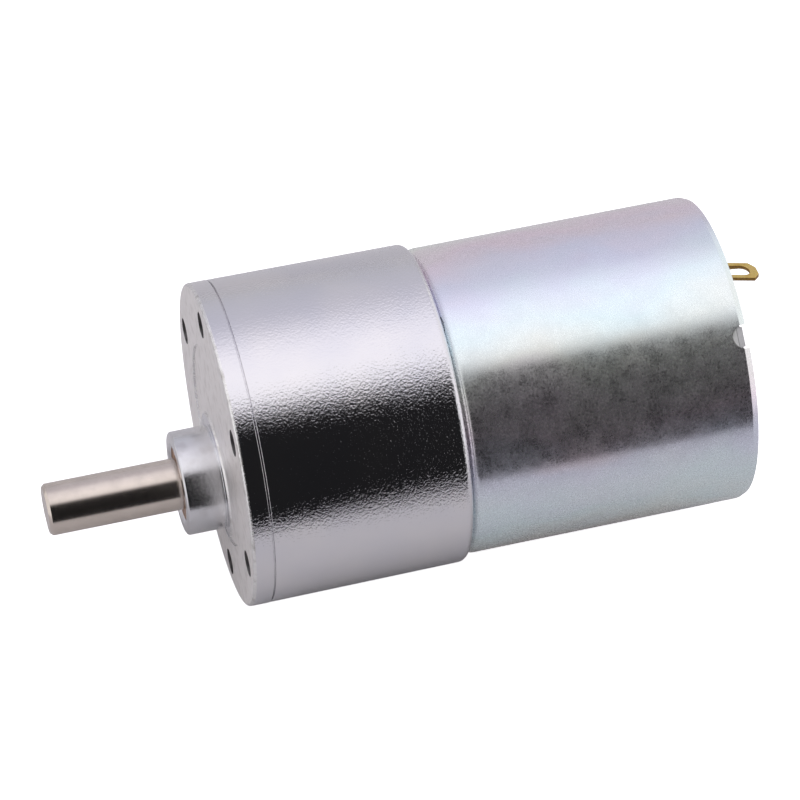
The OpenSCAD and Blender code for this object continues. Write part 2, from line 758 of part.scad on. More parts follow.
// A tab that leans in behind the can: its side view, cut to its top view and slotted
module terminal(angle) {
    start = holder_span[0] - 2.7;
    bend = can_end - 0.05;
    tip = can_end + terminal_reach;
    drop = (tip - bend) * tan(terminal_lean);
    outer_r = terminal_ring_r + terminal_t / 2;
    inner_r = terminal_ring_r - terminal_t / 2;
    corner = [0.7, 0.8];
    half = terminal_w / 2;
    slot_r = 0.85;
    slot_end = tip - 0.95 - slot_r;
    slot_start = can_end + 1.2;
    color(brass) at_depth(0) rotate([0, 0, angle])
        intersection() {
            rotate([90, 0, 0]) linear_extrude(terminal_w + 1, center = true)
                polygon([[inner_r, start], [outer_r, start], [outer_r, bend], [outer_r - drop, tip],
                         [inner_r - drop, tip], [inner_r, bend]]);
            translate([outer_r + 1, 0, 0]) rotate([0, -90, 0])
                linear_extrude(terminal_t + drop + 2) difference() {
                    polygon([[start - 1, -half], [tip - corner[0], -half], [tip, corner[1] - half],
                             [tip, half - corner[1]], [tip - corner[0], half], [start - 1, half]]);
                    for (x = [slot_start, slot_end])
                        translate([x, 0]) circle(r = slot_r);
                    translate([slot_start, -slot_r]) square([slot_end - slot_start, 2 * slot_r]);
                }
        }
}

front_cover();
gearbox_housing();
cover_screws();
output_bush();
rear_output_bush();
output_washers();
output_shaft();
output_gear();
output_clip();
gear_pin(pin_a_axis);  // gear_pin_a
gear_pin(pin_b_axis);  // gear_pin_b
gear_spacers();
third_stage_wheel();
third_stage_pinion();
second_stage_wheel();
second_stage_pinion();
first_stage_wheel();
first_stage_pinion();
motor_pinion();
motor_screws();
motor_can();
front_bearing();
rear_bearing();
end_plate();
magnet(terminal_angle + 90);  // magnet_upper
magnet(terminal_angle - 90);  // magnet_lower
magnet_clips();
motor_shaft();
armature_core();
armature_coils();
armature_washers();
commutator_hub();
commutator_bars();
brush_holder();
brushes();
brush_arms();
terminal(terminal_angle);  // terminal_positive
terminal(terminal_angle + 180);  // terminal_negative
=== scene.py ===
"""Looks of the geared DC motor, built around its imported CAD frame.

The frame is in metres: X is the motor's axis, the output shaft points along -X and the terminals
along +X, and +Z is up. Outlines here are in millimetres, as (x, r) points of a solid of
revolution about X, and their driving sizes are read from the frame.
"""

import json
import math

import bmesh
import bpy
from mathutils import Matrix, Vector


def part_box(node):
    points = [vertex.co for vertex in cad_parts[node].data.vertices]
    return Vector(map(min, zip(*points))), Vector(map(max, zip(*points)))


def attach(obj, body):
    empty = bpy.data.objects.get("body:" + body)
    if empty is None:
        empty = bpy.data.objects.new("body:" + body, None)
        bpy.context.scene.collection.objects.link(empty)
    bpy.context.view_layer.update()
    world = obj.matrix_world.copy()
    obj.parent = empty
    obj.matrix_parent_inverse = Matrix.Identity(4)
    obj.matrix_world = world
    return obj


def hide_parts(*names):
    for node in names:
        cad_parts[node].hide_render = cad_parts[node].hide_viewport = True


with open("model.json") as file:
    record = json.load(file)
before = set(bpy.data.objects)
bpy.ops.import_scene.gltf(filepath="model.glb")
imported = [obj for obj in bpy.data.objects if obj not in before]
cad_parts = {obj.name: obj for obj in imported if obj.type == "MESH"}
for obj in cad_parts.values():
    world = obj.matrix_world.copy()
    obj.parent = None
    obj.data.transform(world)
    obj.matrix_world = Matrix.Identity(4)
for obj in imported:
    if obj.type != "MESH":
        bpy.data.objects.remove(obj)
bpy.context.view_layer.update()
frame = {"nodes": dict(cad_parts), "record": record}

MM = 0.001
SEGMENTS = 240
SMOOTH_ANGLE = math.radians(32)


# --- Sizes from the frame, in millimetres -------------------------------------------------

def span(node, axis):
    """Lowest and highest coordinate of a CAD node along an axis, in millimetres."""
    low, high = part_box(node)
    return low[axis] / MM, high[axis] / MM


def radius(node):
    """Half of a CAD node's width across the motor's axis."""
    low, high = span(node, 1)
    return (high - low) / 2


def centre(node):
    """Where a node's own axis lies, as (y, z) in millimetres."""
    return tuple(sum(span(node, axis)) / 2 for axis in (1, 2))


MOUNTS = {mount["name"]: mount for mount in frame["record"]["mounts"]}
AXIS = (0.0, 0.0)
OUTPUT_AXIS = (0.0, MOUNTS["output_shaft"]["pos_m"][2] / MM)

CASE_R = radius("front_cover")
BOSS_TIP, PAD_BACK = span("front_cover", 0)
COVER_BACK, CASE_END = span("gearbox_housing", 0)
BOSS_R = MOUNTS["pilot_boss"]["dims"]["r_mm"]
HOLE_RING_R = MOUNTS["face_screws"]["dims"]["pcd_mm"] / 2
HOLE_R = MOUNTS["face_screws"]["dims"]["hole_r_mm"]
HOLE_COUNT = MOUNTS["face_screws"]["dims"]["count"]
SHAFT_R = MOUNTS["output_shaft"]["dims"]["r_mm"]
SHAFT_TIP, SHAFT_END = span("output_shaft", 0)
BUSH_FRONT = span("output_bush", 0)[0]
BUSH_R = radius("output_bush")
REAR_BUSH_R = radius("rear_output_bush")
REAR_BUSH_SPAN = span("rear_output_bush", 0)
WALL_FRONT = REAR_BUSH_SPAN[0]
CAN_BOSS_TIP, CAN_END = span("motor_can", 0)
CAN_R = radius("motor_can")
CAN_INNER_R = radius("brush_holder")
PLATE_SPAN = (span("brush_holder", 0)[0] + 2, span("brush_holder", 0)[1] - 0.3)
PLATE_BOSS_END = span("end_plate", 0)[1]
BEARING_R = radius("rear_bearing")
BEARING_SPAN = span("rear_bearing", 0)
FRONT_BEARING_SPAN = span("front_bearing", 0)
CLIP_SPAN = span("output_clip", 0)
PIN_R = radius("gear_pin_a")
PIN_SPAN = span("gear_pin_a", 0)
SCREW_SPAN = span("cover_screws", 0)
TERMINAL_SPAN = span("terminal_positive", 0)
TERMINAL_ANGLE = math.degrees(math.atan2(*reversed(centre("terminal_positive"))))

# --- Sizes that the frame doesn't state, in millimetres and degrees -----------------------

CASE_REAR_R = 18.33
CASE_CORNER_R = 0.8
CAVITY_R = 16.5
PAD_R = 13.4
RECESS_R = 11.5
RECESS_DEPTH = 0.25
FOOT_R = 7.5
FOOT_DEPTH = 0.05
SEAM_GAP = 0.17
SPIGOT_STEP = 0.6
COVER_SCREW_ANGLES = (90, 210, 330)
COVER_SCREW_RING_R = 15.3
COVER_SCREW_R = 0.95
COVER_SCREW_HEAD_R = 1.85
COVER_SCREW_HEAD_H = 0.9
POST_R = 1.9
MOTOR_SCREW_ANGLES = (120, 300)
MOTOR_SCREW_RING_R = 12.5
MOTOR_SCREW_R = 1.6
MOTOR_SCREW_HEAD_R = 3.0
MOTOR_SCREW_HEAD_H = 1.6
MOTOR_SCREW_CORE_R = MOTOR_SCREW_R - 0.15
PINION_WINDOW_R = 3.4
CAN_BOSS_R = 5.0
CAN_CORNER_R = 1.2
CAN_FRONT_T = 1.0
SHAFT_HOLE_R = 1.9
NOTCH_ANGLES = (118, 298)
RIM_LENGTH = 0.7
RIM_DROP = 0.3
RIM_BAND = 3.9
RIM_BAND_DROP = 0.012
NOTCH_W = 2.7
NOTCH_DEPTH = 1.74
JOURNAL_R = 2.0
JOURNAL_FRONT = 20.6
FLAT_LENGTH = 12.0
FLAT_DEPTH = 0.5
THREAD_PITCH = 0.5
THREAD_START = 0.7
TERMINAL_W = 2.8
TERMINAL_T = 0.5
TERMINAL_CORNER = (0.7, 0.8)
TERMINAL_SLOT_R = 0.85
TERMINAL_TIP = 0.95
TERMINAL_RING_R = 11.15
TERMINAL_LEAN = 14


def polar(r, degrees):
    """The (y, z) at a radius and an angle."""
    return r * math.cos(math.radians(degrees)), r * math.sin(math.radians(degrees))


def places(ring_r, angles):
    """Points on a ring round the motor's axis, as (y, z)."""
    return [polar(ring_r, angle) for angle in angles]


HOLES = places(HOLE_RING_R, [360 * k / HOLE_COUNT for k in range(HOLE_COUNT)])
COVER_SCREWS = places(COVER_SCREW_RING_R, COVER_SCREW_ANGLES)
MOTOR_SCREWS = places(MOTOR_SCREW_RING_R, MOTOR_SCREW_ANGLES)


# --- Mesh building ------------------------------------------------------------------------

def mesh_object(name, bm):
    """A linked object from a bmesh in millimetres, with outward normals."""
    bmesh.ops.recalc_face_normals(bm, faces=bm.faces)
    bmesh.ops.scale(bm, vec=(MM, MM, MM), verts=bm.verts)
    mesh = bpy.data.meshes.new(name)
    bm.to_mesh(mesh)
    bm.free()
    made = bpy.data.objects.new(name, mesh)
    bpy.context.scene.collection.objects.link(made)
    return made


def rounded(corners, steps=6):
    """Outline through (x, r, fillet) corners, each rounded with an arc of its fillet radius."""
    points = []
    for i, (x, r, fillet) in enumerate(corners):
        here = Vector((x, r))
        if not fillet:
            points.append(here)
            continue
        to_last = (Vector(corners[i - 1][:2]) - here).normalized()
        to_next = (Vector(corners[(i + 1) % len(corners)][:2]) - here).normalized()
        half = to_last.angle(to_next) / 2
        middle = here + (to_last + to_next).normalized() * (fillet / math.sin(half))
        start = here + to_last * (fillet / math.tan(half)) - middle
        end = here + to_next * (fillet / math.tan(half)) - middle
        sweep = math.atan2(start.x * end.y - start.y * end.x, start.dot(end))
        points += [middle + Matrix.Rotation(sweep * k / steps, 2) @ start for k in range(steps + 1)]
    return points


def lathe(name, outline, at=AXIS, segments=SEGMENTS):
    """Solid of revolution about an axis parallel to X.

    The outline starts and ends on the axis, or else it is closed into a ring."""
    bm = bmesh.new()
    rings = []
    for x, r in outline:
        if r < 1e-6:
            rings.append([bm.verts.new((x, at[0], at[1]))])
            continue
        turns = [2 * math.pi * k / segments for k in range(segments)]
        rings.append([bm.verts.new((x, at[0] + r * math.cos(turn), at[1] + r * math.sin(turn)))
                      for turn in turns])
    closed = len(rings[0]) > 1
    pairs = zip(rings, rings[1:] + rings[:1]) if closed else zip(rings, rings[1:])
    for first, second in pairs:
        for k in range(segments):
            a, b = first[k % len(first)], first[(k + 1) % len(first)]
            c, d = second[(k + 1) % len(second)], second[k % len(second)]
            bm.faces.new(list(dict.fromkeys((a, b, c, d))))
    return mesh_object(name, bm)


def rod(x0, x1, r, at=AXIS, segments=64):
    """A plain cylinder, used to cut and to join."""
    return lathe("rod", [(x0, 0), (x0, r), (x1, r), (x1, 0)], at, segments)


def block(low, high, turn=0.0):
    """A box between two corners, turned about X by an angle in degrees."""
    bm = bmesh.new()
    bmesh.ops.create_cube(bm, size=1)
    low, high = Vector(low), Vector(high)
    size = high - low
    bmesh.ops.scale(bm, vec=size, verts=bm.verts)
    bmesh.ops.translate(bm, vec=(low + high) / 2, verts=bm.verts)
    bmesh.ops.rotate(bm, matrix=Matrix.Rotation(math.radians(turn), 3, "X"), verts=bm.verts)
    return mesh_object("block", bm)


def threaded_rod(x0, x1, minor_r, major_r, at, segments=48, rows_per_turn=8):
    """A rod whose wall is a true helical thread, which cuts a tapped hole."""
    bm = bmesh.new()
    rows = round((x1 - x0) / THREAD_PITCH * rows_per_turn)
    rings = []
    for row in range(rows + 1):
        x = x0 + (x1 - x0) * row / rows
        ring = []
        for k in range(segments):
            turn = k / segments
            ridge = abs(2 * ((x / THREAD_PITCH - turn) % 1.0) - 1)
            r = minor_r + (major_r - minor_r) * ridge
            y, z = polar(r, 360 * turn)
            ring.append(bm.verts.new((x, at[0] + y, at[1] + z)))
        rings.append(ring)
    for first, second in zip(rings, rings[1:]):
        for k in range(segments):
            following = (k + 1) % segments
            bm.faces.new((first[k], first[following], second[following], second[k]))
    bm.faces.new(rings[0])
    bm.faces.new(rings[-1])
    return mesh_object("threaded_rod", bm)


def prism(name, outline, base, thickness, turn):
    """A flat outline in (x, sideways), standing at radius base and turned about X in degrees."""
    bm = bmesh.new()
    face = bm.faces.new([bm.verts.new((x, -across, base)) for x, across in outline])
    grown = bmesh.ops.extrude_face_region(bm, geom=[face])
    moved = [part for part in grown["geom"] if isinstance(part, bmesh.types.BMVert)]
    bmesh.ops.translate(bm, vec=(0, 0, thickness), verts=moved)
    bmesh.ops.rotate(bm, matrix=Matrix.Rotation(math.radians(turn - 90), 3, "X"), verts=bm.verts)
    return mesh_object(name, bm)


def arc(x, across, r, start, end, steps=12):
    """Points of an arc in (x, sideways)."""
    angles = [math.radians(start + (end - start) * k / steps) for k in range(steps + 1)]
    return [(x + r * math.cos(a), across + r * math.sin(a)) for a in angles]


def combine(piece, tools, operation):
    """Applies a boolean with each tool in turn, and removes the tools."""
    for tool in tools:
        modifier = piece.modifiers.new("combine", "BOOLEAN")
        modifier.object = tool
        modifier.operation = operation
        modifier.solver = "EXACT"
    graph = bpy.context.evaluated_depsgraph_get()
    mesh = bpy.data.meshes.new_from_object(piece.evaluated_get(graph))
    piece.modifiers.clear()
    piece.data = mesh
    mesh.name = piece.name
    for tool in tools:
        bpy.data.objects.remove(tool)
    return piece


def cut(piece, tools):
    """Takes the tools away from a piece."""
    return combine(piece, tools, "DIFFERENCE")


def join(piece, tools):
    """Adds the tools to a piece."""
    return combine(piece, tools, "UNION")


def soften_edges(piece, width):
    """Breaks a piece's sharp edges with a small bevel."""
    bevel = piece.modifiers.new("broken_edges", "BEVEL")
    bevel.width = width * MM
    bevel.segments = 2
    bevel.limit_method = "ANGLE"
    bevel.angle_limit = SMOOTH_ANGLE
    return piece


def finish_piece(piece, node, material, body="case", others=(), region=None):
    """Smooths a piece, gives it its material, and puts it in the place of a CAD node.

    Other materials follow the main one, and region says which of them a polygon has."""
    piece.data.materials.clear()
    for finish in (material, *others):
        piece.data.materials.append(finish)
    for polygon in piece.data.polygons:
        polygon.use_smooth = True
        polygon.material_index = region(polygon.center / MM, polygon.normal) if region else 0
    piece.data.set_sharp_from_angle(angle=SMOOTH_ANGLE)
    normals = piece.modifiers.new("weighted_normals", "WEIGHTED_NORMAL")
    normals.weight = 90
    normals.keep_sharp = True
    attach(piece, body)
    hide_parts(node)
    return piece


# --- Materials ----------------------------------------------------------------------------

class Nodes:
    """A node tree, with short calls for the nodes used here."""

    def __init__(self, tree):
        self.tree = tree

    def add(self, kind, **settings):
        """A new node of the type ShaderNode and a kind, with its settings."""
        node = self.tree.nodes.new("ShaderNode" + kind)
        for name, value in settings.items():
            setattr(node, name, value)
        return node

    def link(self, socket, value):
        """Feeds a socket from another one, or sets its own value."""
        if isinstance(value, bpy.types.NodeSocket):
            self.tree.links.new(value, socket)
        elif socket.type == "RGBA":
            socket.default_value = (*value, 1)
        else:
            socket.default_value = value

    def link_all(self, node, values):
        for socket, value in zip(node.inputs, values):
            self.link(socket, value)

    def axes(self, vector):
        """The X, Y and Z of a vector."""
        node = self.add("SeparateXYZ")
        self.link(node.inputs[0], vector)
        return tuple(node.outputs)

    def maths(self, operation, *values):
        node = self.add("Math", operation=operation)
        self.link_all(node, values)
        return node.outputs[0]

    def spread(self, value, low, high, to_low=0.0, to_high=1.0, kind="LINEAR"):
        """Maps the range low to high onto another, clamped."""
        node = self.add("MapRange", interpolation_type=kind)
        self.link_all(node, (value, low, high, to_low, to_high))
        return node.outputs[0]

    def ramp(self, value, stops):
        """A colour ramp through (position, colour) stops."""
        node = self.add("ValToRGB")
        elements = node.color_ramp.elements
        while len(elements) < len(stops):
            elements.new(0.5)
        for element, (position, color) in zip(elements, stops):
            element.position = position
            element.color = (*color, 1)
        self.link(node.inputs[0], value)
        return node.outputs["Color"]

    def mix(self, share, first, second):
        """The second of two colours, by its share."""
        node = self.add("Mix", data_type="RGBA")
        self.link(node.inputs[0], share)
        self.link(node.inputs[6], first)
        self.link(node.inputs[7], second)
        return node.outputs[2]

    def blend(self, share, first, second):
        """The second of two surfaces, by its share."""
        node = self.add("MixShader")
        self.link_all(node, (share, first.outputs[0], second.outputs[0]))
        return node.outputs[0]


class Shader(Nodes):
    """A material around one Principled BSDF."""

    def __init__(self, name, color, metallic=1.0, roughness=0.3):
        self.material = bpy.data.materials.new(name)
        self.material.use_nodes = True
        super().__init__(self.material.node_tree)
        self.bsdf = self.tree.nodes["Principled BSDF"]
        self.link(self.bsdf.inputs["Base Color"], color)
        self.link(self.bsdf.inputs["Metallic"], metallic)
        self.link(self.bsdf.inputs["Roughness"], roughness)
        millimetres = self.add("VectorMath", operation="SCALE")
        self.link(millimetres.inputs[0], self.add("TexCoord").outputs["Object"])
        self.link(millimetres.inputs["Scale"], 1 / MM)
        self.mm = millimetres.outputs[0]

    def noise(self, scale, detail=2.0, roughness=0.5, stretch=(1, 1, 1)):
        """Noise whose scale is in features per millimetre along each stretched axis."""
        stretched = self.add("VectorMath", operation="MULTIPLY")
        self.link_all(stretched, (self.mm, stretch))
        node = self.add("TexNoise")
        self.link(node.inputs["Vector"], stretched.outputs[0])
        self.link(node.inputs["Scale"], scale)
        self.link(node.inputs["Detail"], detail)
        self.link(node.inputs["Roughness"], roughness)
        return node.outputs["Fac"]

    def bump(self, height, depth_um, under=None):
        """A bump of the given depth in micrometres, on top of another."""
        node = self.add("Bump")
        self.link(node.inputs["Distance"], depth_um * 1e-6)
        self.link(node.inputs["Height"], height)
        if under is not None:
            self.link(node.inputs["Normal"], under)
        return node.outputs["Normal"]

    def turn(self):
        """The angle round the motor's axis, from 0 to 1."""
        _, y, z = self.axes(self.mm)
        angle = self.maths("ARCTAN2", z, y)
        return self.maths("FRACT", self.maths("MULTIPLY_ADD", angle, 1 / (2 * math.pi), 1.0))

    def along(self):
        """The distance along the motor's axis, in millimetres."""
        return self.axes(self.mm)[0]

    def haze(self, share, roughness):
        """Mixes in a duller copy of the surface, the faint haze round a plating's reflections."""
        dull = self.add("BsdfPrincipled")
        for name in ("Base Color", "Metallic", "Normal"):
            source = self.bsdf.inputs[name]
            dull.inputs[name].default_value = source.default_value
            if source.is_linked:
                self.link(dull.inputs[name], source.links[0].from_socket)
        self.link(dull.inputs["Roughness"], roughness)
        output = self.tree.nodes["Material Output"]
        self.link(output.inputs["Surface"], self.blend(share, self.bsdf, dull))
        return self.material

    def set(self, **sockets):
        """Feeds the shader's color, roughness and normal, and returns the material."""
        names = {"color": "Base Color", "roughness": "Roughness", "normal": "Normal"}
        for key, value in sockets.items():
            self.link(self.bsdf.inputs[names[key]], value)
        return self.material


def cast_zinc():
    """Bright plated die casting with the fine dimples of an orange-peel surface."""
    shader = Shader("cast_zinc", (0.80, 0.79, 0.81))
    dimples = shader.noise(3.5, detail=2.0, roughness=0.6, stretch=(1.3, 1, 1))
    patches = shader.noise(0.12, detail=2.0)
    waves = shader.noise(0.25, detail=1.0)
    deeper_to_rear = shader.spread(shader.along(), 3, 20, 0.9, 1.3)
    dimpled = shader.bump(shader.maths("MULTIPLY", dimples, deeper_to_rear), 44)
    return shader.set(
        color=shader.ramp(patches, [(0.3, (0.76, 0.755, 0.80)), (0.7, (0.84, 0.82, 0.83))]),
        roughness=shader.spread(dimples, 0.3, 0.7, 0.05, 0.09),
        normal=shader.bump(waves, 16, under=dimpled),
    )


def cast_matt(name, color, stain, roughness, depth_um):
    """Duller faces of the casting, with rough spots left by the die."""
    shader = Shader(name, color)
    grain = shader.noise(3.4, detail=4.0, roughness=0.7)
    spots = shader.noise(0.7, detail=3.0)
    return shader.set(
        color=shader.mix(shader.spread(spots, 0.48, 0.7, 0.0, 0.9), color, stain),
        roughness=shader.spread(grain, 0.3, 0.7, roughness * 0.8, roughness * 1.2),
        normal=shader.bump(grain, depth_um),
    )


def can_zinc():
    """Zinc plate with a thin passivated film: faint rainbow bands and a fine grain."""
    shader = Shader("can_zinc", (0.75, 0.77, 0.80))
    drift = shader.noise(0.09, detail=3.0, stretch=(0.6, 1, 1))
    bands = shader.maths("MULTIPLY_ADD", shader.turn(), 4.0, shader.maths("MULTIPLY", drift, 0.9))
    film = shader.ramp(shader.maths("FRACT", bands), [
        (0.0, (0.95, 0.83, 0.91)),
        (0.22, (0.83, 0.85, 0.98)),
        (0.45, (0.82, 0.96, 0.98)),
        (0.7, (0.94, 0.97, 0.90)),
        (1.0, (0.95, 0.83, 0.91)),
    ])
    grain = shader.noise(3.8, detail=3.0, roughness=0.7, stretch=(1.3, 1, 1))
    blotch = shader.noise(0.5, detail=4.0, roughness=0.6)
    wear = shader.noise(0.12, detail=2.0, stretch=(0.5, 1, 1))
    shader.set(
        color=shader.mix(shader.spread(wear, 0.35, 0.7, 0.0, 0.4), film, (0.88, 0.88, 0.90)),
        roughness=shader.spread(blotch, 0.3, 0.7, 0.17, 0.25),
        normal=shader.bump(grain, 2),
    )
    veil = shader.maths("MULTIPLY_ADD", blotch, 0.45, grain)
    return shader.haze(shader.spread(veil, 0.55, 0.9, 0.10, 0.50), 0.5)


def ground_metal(name, color, roughness=0.22, stretch=(9, 1, 1)):
    """Turned or ground metal with fine marks round its axis."""
    shader = Shader(name, color)
    marks = shader.noise(1.6, detail=4.0, roughness=0.7, stretch=stretch)
    smears = shader.noise(0.6, detail=2.0)
    dark = tuple(0.86 * part for part in color)
    return shader.set(
        color=shader.mix(shader.spread(smears, 0.35, 0.7, 0.0, 0.6), color, dark),
        roughness=shader.spread(marks, 0.3, 0.7, roughness * 0.75, roughness * 1.35),
        normal=shader.bump(marks, 2),
    )


def sintered(name, color, roughness=0.42):
    """Pressed powder metal: fine open pores that hold oil."""
    shader = Shader(name, color)
    pores = shader.noise(6.0, detail=3.0, roughness=0.7)
    oil = shader.noise(0.7, detail=2.0)
    dark = tuple(0.45 * part for part in color)
    return shader.set(
        color=shader.mix(shader.spread(pores, 0.3, 0.5, 1.0, 0.0), color, dark),
        roughness=shader.spread(oil, 0.3, 0.7, roughness * 0.7, roughness * 1.3),
        normal=shader.bump(pores, 10),
    )


def stamped_brass():
    """Stamped brass strip, with faint rolling lines and warmer patches."""
    shader = Shader("stamped_brass", (0.80, 0.58, 0.20))
    rolling = shader.noise(2.2, detail=3.0, stretch=(0.3, 3, 3))
    patches = shader.noise(0.9, detail=2.0)
    tint = shader.ramp(patches, [
        (0.3, (0.72, 0.48, 0.13)),
        (0.55, (0.83, 0.62, 0.20)),
        (0.8, (0.80, 0.52, 0.24)),
    ])
    return shader.set(
        color=tint,
        roughness=shader.spread(rolling, 0.3, 0.7, 0.20, 0.30),
        normal=shader.bump(rolling, 3),
    )


def sheared_brass_painted_shade():
    """The strip's cut edges and slot walls: duller than its rolled faces, and darker brown as painted
    shade.
    """
    shader = Shader("sheared_brass_painted_shade", (0.45, 0.27, 0.08), roughness=0.45)
    tears = shader.noise(3.0, detail=3.0, stretch=(1, 2, 2))
    return shader.set(
        color=shader.mix(tears, (0.50, 0.31, 0.10), (0.30, 0.17, 0.05)),
        normal=shader.bump(tears, 12),
    )


def moulded(name, color, roughness=0.5):
    """Moulded or pressed non-metal with a fine matt grain."""
    shader = Shader(name, color, metallic=0.0)
    grain = shader.noise(4.0, detail=3.0)
    patches = shader.noise(0.5, detail=2.0)
    dark = tuple(0.8 * part for part in color)
    return shader.set(
        color=shader.mix(shader.spread(patches, 0.3, 0.7), color, dark),
        roughness=shader.spread(grain, 0.3, 0.7, roughness * 0.85, roughness * 1.15),
        normal=shader.bump(grain, 8),
    )


def laminated_steel():
    """A stack of thin sheets: fine lines across the motor's axis."""
    shader = Shader("lamination", (0.34, 0.34, 0.36), roughness=0.4)
    sheets = shader.noise(2.0, detail=0.0, stretch=(2, 0.01, 0.01))
    stain = shader.noise(0.5, detail=3.0)
    stained = shader.spread(stain, 0.3, 0.7, 0.0, 0.5)
    return shader.set(
        color=shader.mix(stained, (0.34, 0.34, 0.36), (0.22, 0.19, 0.17)),
        roughness=shader.spread(sheets, 0.3, 0.7, 0.3, 0.5),
        normal=shader.bump(sheets, 40),
    )


def wound_wire():
    """Enamelled wire laid side by side."""
    shader = Shader("enamelled_copper", (0.62, 0.25, 0.10), metallic=0.9, roughness=0.28)
    wave = shader.add("TexWave", bands_direction="DIAGONAL")
    shader.link_all(wave, (shader.mm, 0.9, 0.6))
    patches = shader.noise(0.8, detail=2.0)
    return shader.set(
        color=shader.mix(patches, (0.66, 0.28, 0.11), (0.48, 0.16, 0.07)),
        roughness=shader.spread(patches, 0.3, 0.7, 0.22, 0.34),
        normal=shader.bump(wave.outputs["Fac"], 120),
    )


# --- Pieces -------------------------------------------------------------------------------

def front_cover():
    """Cover casting: recessed face, offset boss on a low ring, and six tapped holes."""
    body = lathe("cover_casting", rounded([
        (RECESS_DEPTH, 0, 0),
        (RECESS_DEPTH, RECESS_R, 0.05),
        (0, RECESS_R + 0.08, 0.04),
        (0, CASE_R, 0.35),
        (COVER_BACK - SEAM_GAP, CASE_R, 0.08),
        (COVER_BACK - SEAM_GAP, CASE_R - SPIGOT_STEP, 0),
        (COVER_BACK, CASE_R - SPIGOT_STEP, 0),
        (COVER_BACK, PAD_R, 0),
        (PAD_BACK, PAD_R, 0.3),
        (PAD_BACK, 0, 0),
    ]))
    boss = lathe("boss", rounded([
        (BOSS_TIP, 0, 0),
        (BOSS_TIP, BOSS_R, 0.4),
        (FOOT_DEPTH, BOSS_R, 0.08),
        (FOOT_DEPTH, FOOT_R - 0.2, 0.04),
        (RECESS_DEPTH, FOOT_R, 0),
        (COVER_BACK - 0.5, FOOT_R, 0),
        (COVER_BACK - 0.5, 0, 0),
    ]), OUTPUT_AXIS)
    join(body, [boss])
    tools = [lathe("bore", [
        (BOSS_TIP - 1, 0), (BOSS_TIP - 1, BUSH_R + 1.3), (BOSS_TIP + 0.3, BUSH_R),
        (PAD_BACK + 1, BUSH_R), (PAD_BACK + 1, 0),
    ], OUTPUT_AXIS, segments=128)]
    for place in HOLES:
        tools.append(rod(-1, THREAD_START, HOLE_R, place, 48))
        tools.append(threaded_rod(THREAD_START - 0.1, COVER_BACK + 0.2, HOLE_R - 0.25, HOLE_R, place))
    for place in COVER_SCREWS:
        tools.append(rod(SCREW_SPAN[0] - 0.2, COVER_BACK + 1, COVER_SCREW_R, place, 40))
    for pin in ("gear_pin_a", "gear_pin_b"):
        tools.append(rod(PIN_SPAN[0], PAD_BACK + 1, PIN_R, centre(pin), 40))
    return cut(body, tools)


# The cover's finishes, in the order of its material slots; the last is painted shade, a dark zinc on
# the walls of the tapped holes
BRIGHT, FACE, BOSS, EDGE, SHADED_THREAD = range(5)


def cover_region(place, normal):
    """Which of its finishes the cover has at a polygon; the walls of the tapped holes get the dark
    zinc of painted shade.
    """
    x, *across = place
    if x > 0.01 and any(math.dist(across, hole) < HOLE_R + 0.05 for hole in HOLES):
        return SHADED_THREAD
    if math.dist(across, OUTPUT_AXIS) < FOOT_R - 0.22:
        return BOSS
    if normal.x < -0.97:
        return FACE
    return EDGE if x < 0.4 else BRIGHT


def gearbox_housing():
    """Cup casting with its draft, rounded rear corner, screw posts and rear wall."""
    body = lathe("housing_casting", rounded([
        (COVER_BACK, CASE_R - 0.02, 0.1),
        (CASE_END, CASE_REAR_R, CASE_CORNER_R),
        (CASE_END, CAN_BOSS_R + 0.05, 0),
        (CAN_BOSS_TIP - 0.05, CAN_BOSS_R + 0.05, 0),
        (CAN_BOSS_TIP - 0.05, PINION_WINDOW_R, 0),
        (WALL_FRONT, PINION_WINDOW_R, 0.2),
        (WALL_FRONT, CAVITY_R, 0.6),
        (COVER_BACK, CAVITY_R, 0),
    ]))
    join(body, [rod(COVER_BACK, WALL_FRONT + 1, POST_R, place) for place in COVER_SCREWS])
    tools = []
    shank_r, head_r = COVER_SCREW_R + 0.15, COVER_SCREW_HEAD_R + 0.1
    seat_front = CASE_END - COVER_SCREW_HEAD_H - 0.1
    for place in COVER_SCREWS:
        tools.append(rod(COVER_BACK - 1, CASE_END + 1, shank_r, place, 40))
        tools.append(lathe("seat", [
            (seat_front, 0), (seat_front, shank_r), (CASE_END, head_r),
            (CASE_END + 1, head_r), (CASE_END + 1, 0),
        ], place, 64))
    for place in HOLES:
        tools.append(rod(COVER_BACK - 1, COVER_BACK + 1.2, HOLE_R + 0.2, place))
    tools.append(rod(WALL_FRONT - 1, REAR_BUSH_SPAN[1], REAR_BUSH_R, OUTPUT_AXIS))
    for pin in ("gear_pin_a", "gear_pin_b"):
        tools.append(rod(WALL_FRONT - 1, PIN_SPAN[1], PIN_R, centre(pin), 40))
    for place in MOTOR_SCREWS:
        tools.append(rod(WALL_FRONT - 1, CASE_END + 1, MOTOR_SCREW_R, place))
        tools.append(rod(WALL_FRONT - 1, WALL_FRONT + MOTOR_SCREW_HEAD_H, MOTOR_SCREW_HEAD_R, place))
    return cut(body, tools)


